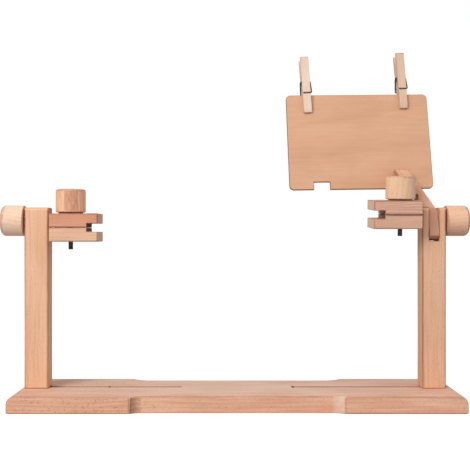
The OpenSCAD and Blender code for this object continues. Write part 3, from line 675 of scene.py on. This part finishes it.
def spring(node, place):
    """Round wire along the path, smooth and closed at its two ends."""
    path = spring_path()
    normal = Vector((0, 0, 1))
    rings = []
    for i, q in enumerate(path):
        tangent = (path[min(i + 1, len(path) - 1)] - path[max(i - 1, 0)]).normalized()
        normal = (normal - normal.dot(tangent) * tangent).normalized()
        other = tangent.cross(normal)
        rings.append([(place @ (q + WIRE_D / 2 * (x * normal + y * other))) * MM for x, y in circle(WIRE_SIDES)])
    piece = shown(node, tube(rings, node), spring_wire)
    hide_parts(node)
    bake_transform(piece)


BACK_SHIFT = (60, 0, 9)
for side, place, shift, tone in (
    ("left", L_PEG, (20, 22, 14), peg_wood),
    ("right", R_PEG, (140, 18, 25), dark_peg),
):
    back_shift = tuple(a + b for a, b in zip(shift, BACK_SHIFT))
    carve(side + "_peg_front", tone, place, "z", shift, round_mm=0.35, segments=2)
    carve(side + "_peg_back", tone, place, "z", back_shift, round_mm=0.35, segments=2)
    spring(side + "_peg_spring", place)

# The CAD nodes that no piece replaces stay and get better materials
for node, cad in frame["nodes"].items():
    if cad.hide_render:
        continue
    material = {"zinc_steel": zinc, "dark_steel": dark_steel, "brass": brass}[NODE_SLOT[node]]
    # The clamp washers are painted dark: painted shade under the knobs
    if node.endswith("clamp_washer"):
        material = shaded_washer
    for slot in cad.material_slots:
        slot.link = "OBJECT"
        slot.material = material


def floor_material():
    """A floor that looks white from the camera and still takes the stand's shadow."""
    t = Tree(bpy.data.materials.new("pale_floor"))
    t.surface("Roughness", 0.9)
    t.surface("Specular IOR Level", 0.0)
    seen = t.add("ShaderNodeLightPath").outputs["Is Camera Ray"]
    t.surface("Base Color", t.mix(seen, (0.5, 0.5, 0.5, 1), (0.4, 0.4, 0.4, 1)))
    away = t.add("ShaderNodeVectorMath", operation="LENGTH")
    t.feed(away.inputs[0], t.add("ShaderNodeTexCoord").outputs["Object"])
    t.surface("Emission Strength", t.times(seen, t.ramp(away.outputs["Value"], 0.35, 0.9, 0.8, 0.93)))
    t.surface("Emission Color", (1, 1, 1, 1))
    return t.owner


FLOOR_HALF, FLOOR_Z = 9, -0.0002
FLOOR_CORNERS = [(x * FLOOR_HALF, y * FLOOR_HALF, FLOOR_Z) for x, y in ((-1, -1), (1, -1), (1, 1), (-1, 1))]
floor_mesh = bpy.data.meshes.new("floor")
floor_mesh.from_pydata(FLOOR_CORNERS, [], [(0, 1, 2, 3)])
floor = bpy.data.objects.new("floor", floor_mesh)
floor_mesh.materials.append(floor_material())
bpy.context.scene.collection.objects.link(floor)

# A white studio that lights the stand dimly, is half as bright in its reflections and white to the camera
STUDIO_LIGHT, STUDIO_GLOSS = 0.28, 0.5
world = bpy.data.worlds.new("studio")
bpy.context.scene.world = world
studio = Tree(world)
background = studio.nodes["Background"]
ray = studio.add("ShaderNodeLightPath")
bright = studio.math("MAXIMUM", ray.outputs["Is Camera Ray"], studio.times(ray.outputs["Is Glossy Ray"], STUDIO_GLOSS))
studio.feed(background.inputs["Color"], (1, 1, 1, 1))
studio.feed(background.inputs["Strength"], studio.ramp(bright, 0, 1, STUDIO_LIGHT, 1.0))

# Square lamps: name, side, watts, place and the point they face
for name, side, watts, where, aim in (
    ("key", 1.6, 65, (-1.5, -2.1, 1.8), (0.0, 0.0, 0.15)),
    ("top", 2.0, 12, (0.0, -0.8, 1.9), (0.0, 0.0, 0.0)),
    ("fill", 2.0, 15, (2.4, -1.5, 0.9), (0.0, 0.0, 0.15)),
):
    data = bpy.data.lights.new(name, "AREA")
    data.size = side
    data.energy = watts
    lamp = bpy.data.objects.new(name, data)
    bpy.context.scene.collection.objects.link(lamp)
    lamp.location = where
    lamp.rotation_euler = (Vector(aim) - Vector(where)).to_track_quat("-Z", "Y").to_euler()

# The camera fitted to the photograph: focal length and width in pixels, on a sensor in millimetres
FOCAL_PX, IMAGE_PX, SENSOR_MM = 960, 470, 36
camera_data = bpy.data.cameras.new("camera")
camera = bpy.data.objects.new("camera", camera_data)
bpy.context.scene.collection.objects.link(camera)
camera_data.sensor_width = SENSOR_MM
camera_data.lens = SENSOR_MM * FOCAL_PX / IMAGE_PX
camera.location = (-0.0025, -1.2143, 0.2133)
camera.rotation_euler = (math.pi / 2, 0, 0)
bpy.context.scene.camera = camera
bpy.context.scene.view_settings.view_transform = "Standard"
